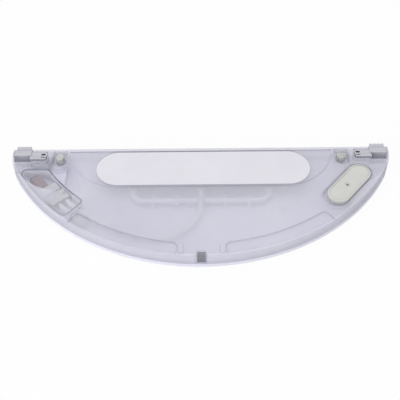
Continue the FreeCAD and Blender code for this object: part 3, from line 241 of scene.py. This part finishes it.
# The same polycarbonate with more white in it, so the floor of the tank closes the view
base_material = moulded("milky_polycarbonate", "#E7E5F2", "#ECEBF5", 0.45, 0.9, 0.03, ior=1.58)
# Matte polypropylene film: flat white with the faint cloud of its coating
label_material = moulded("matte_label_film", "#E0DEE4", "#E4E2E8", 0.55, 0.5, 0.01, ior=1.49, spread_mm=25.0)
# Moulded silicone rubber: warm grey, waxy, no sharp highlight; painted grey shade in its creases
plug_material = moulded("moulded_silicone_plug", "#CFCFCA", "#D5D5D0", 0.5, 0.7, 0.03, ior=1.41,
                        spread_mm=12.0, painted_shade_mm=1.0, painted_shade_colour="#A8A8A8")
# Pale TPE of the bumpers: matte and slightly powdery; painted grey shade in its hollows
bumper_material = moulded("pale_tpe", "#C3C4C0", "#CBCBC7", 0.6, 0.5, 0.03, ior=1.45, spread_mm=6.0,
                          painted_shade_mm=2.0, painted_shade_colour="#9A9A98")
# Moulded acetal of the levers: smoother than the shell, painted dark shade greying it where it dips
latch_material = moulded("moulded_acetal", "#BFBEC6", "#C6C5CC", 0.38, 0.6, 0.02, ior=1.48, spread_mm=15.0,
                         painted_shade_mm=4.0, painted_shade_colour="#77767C")
# White ABS of the pump
pump_material = moulded("white_abs", "#C2C2C5", "#CCCCCE", 0.45, 0.6, 0.02, ior=1.54, spread_mm=10.0)
# Silicone tube: milky and soft
hose_material = moulded("milky_silicone_tube", "#E2E2E8", "#EAEAEE", 0.4, 0.8, 0.02, ior=1.41, spread_mm=10.0)
# Blue-grey EPDM of the seals
seal_material = moulded("grey_epdm", "#6C7690", "#78829A", 0.6, 0.4, 0.03, ior=1.5, spread_mm=8.0)
# Wrapped motor can: rose-brown printed foil over steel
motor_material = moulded("rose_brown_foil", "#7A5C5C", "#886A6A", 0.35, 0.5, 0.01, ior=1.5, spread_mm=5.0,
                         coat=0.3)
# Black nylon end cap
cap_material = moulded("black_nylon", "#1E1D20", "#2A292D", 0.5, 0.4, 0.02, ior=1.53, spread_mm=5.0)
# Epoxy-coated ferrite
magnet_material = moulded("coated_ferrite", "#1F1D22", "#2A282D", 0.45, 0.3, 0.03, ior=1.5, spread_mm=4.0)
# Hook tape: dense nylon hooks, drawn as a coarse grain
tape_material = moulded("nylon_hook_tape", "#7C7B80", "#A5A4A9", 0.85, 1.1, 0.4, ior=1.53, spread_mm=2.0)
# Ground stainless steel
steel_material = metal("ground_stainless_steel", "#A5A5A8", "#C4C4C6", 0.28, 0.25, (1.0, 1.0, 0.15))
# Hard gold plating over brass
gold_material = metal("hard_gold_plate", "#CFA24A", "#E2BC6A", 0.22, 0.3)

FINISH = {
    "tank_cover": cover_material, "tank_base": base_material, "instruction_label": label_material,
    "filler_plug": plug_material, "left_bumper": bumper_material, "right_bumper": bumper_material,
    "latch_lever_left": latch_material, "latch_lever_right": latch_material,
    "latch_pin_left": steel_material, "latch_pin_right": steel_material,
    "latch_spring_left": steel_material, "latch_spring_right": steel_material,
    "pump_motor": motor_material, "motor_cap": cap_material, "motor_shaft": steel_material,
    "pump_bracket": pump_material, "pump_head": pump_material, "pump_impeller": pump_material,
    "pump_lid": pump_material, "lid_screws": steel_material, "pump_screws": steel_material,
    "bay_seal": seal_material, "bulkhead_grommets": seal_material, "inlet_filter": pump_material,
    "hose_suction": hose_material, "hose_main": hose_material, "cross_fitting": pump_material,
    "hose_left": hose_material, "hose_right": hose_material, "hose_centre": hose_material,
    "outlet_elbow_left": pump_material, "outlet_elbow_centre": pump_material,
    "outlet_elbow_right": pump_material,
    "front_magnet": magnet_material, "contact_block": cap_material, "contact_pads": gold_material,
    "hook_strip_left": tape_material, "hook_strip_right": tape_material,
}
for name, node in nodes.items():
    node.data.materials.clear()
    node.data.materials.append(FINISH[name])


def seen_directly(owner):
    """1 for what the camera sees, also in metal or through glass, and 0 for light on the object."""
    ray = add(owner, "LightPath").outputs
    return maths(owner, "MAXIMUM", ray["Is Camera Ray"],
                 maths(owner, "MAXIMUM", ray["Is Glossy Ray"], ray["Is Transmission Ray"]))


# Floor, white to the camera but for the object's shadow
floor_white = 0.93          # share of plain white, the rest is lit and holds the shadow
floor_drop = 0.2 * MM       # below the underside
floor_reach = 4.0
floor_material = emptied(bpy.data.materials.new("studio_floor"))
floor_shade = add(floor_material, "BsdfDiffuse", inputs={"Color": linear("#F4F4F6")})
floor_glow = add(floor_material, "Emission", inputs={"Color": (1.0, 1.0, 1.0, 1.0), "Strength": 1.0})
floor_share = maths(floor_material, "MULTIPLY", seen_directly(floor_material), floor_white)
floor_look = mixed(floor_material, floor_share, floor_shade.outputs["BSDF"], floor_glow.outputs["Emission"])
add(floor_material, "OutputMaterial", links={"Surface": floor_look})

floor_mesh = bpy.data.meshes.new("studio_floor")
floor_form = bmesh.new()
bmesh.ops.create_grid(floor_form, x_segments=1, y_segments=1, size=floor_reach)
bmesh.ops.translate(floor_form, verts=floor_form.verts, vec=(0, 0, cad_box[0][2] - floor_drop))
floor_form.to_mesh(floor_mesh)
floor_form.free()
floor_mesh.materials.append(floor_material)
floor = bpy.data.objects.new("studio_floor", floor_mesh)
bpy.context.scene.collection.objects.link(floor)

# White room: the world gives the fill, two soft lamps the shape
world = emptied(bpy.data.worlds.new("studio_room"))
room_fill = add(world, "Background", inputs={"Color": (0.96, 0.97, 1.0, 1.0), "Strength": 0.55})
room_white = add(world, "Background", inputs={"Color": (1.0, 1.0, 1.0, 1.0), "Strength": 1.0})
room_look = mixed(world, seen_directly(world), room_fill.outputs["Background"],
                  room_white.outputs["Background"])
add(world, "OutputWorld", links={"Surface": room_look})
bpy.context.scene.world = world


def soft_lamp(name, place, size, power):
    """Area lamp aimed at the object."""
    data = bpy.data.lights.new(name, "AREA")
    data.shape = "RECTANGLE"
    data.size, data.size_y = size
    data.energy = power
    lamp = bpy.data.objects.new(name, data)
    bpy.context.scene.collection.objects.link(lamp)
    aim = (-Vector(place)).to_track_quat("-Z", "Y").to_matrix().to_4x4()
    lamp.matrix_world = Matrix.Translation(Vector(place)) @ aim


soft_lamp("top_softbox", (0.0, 0.3, 1.3), (1.4, 1.0), 7.0)
soft_lamp("front_softbox", (-0.75, -1.15, 0.6), (1.2, 0.8), 8.4)

bpy.context.scene.view_settings.view_transform = "Standard"
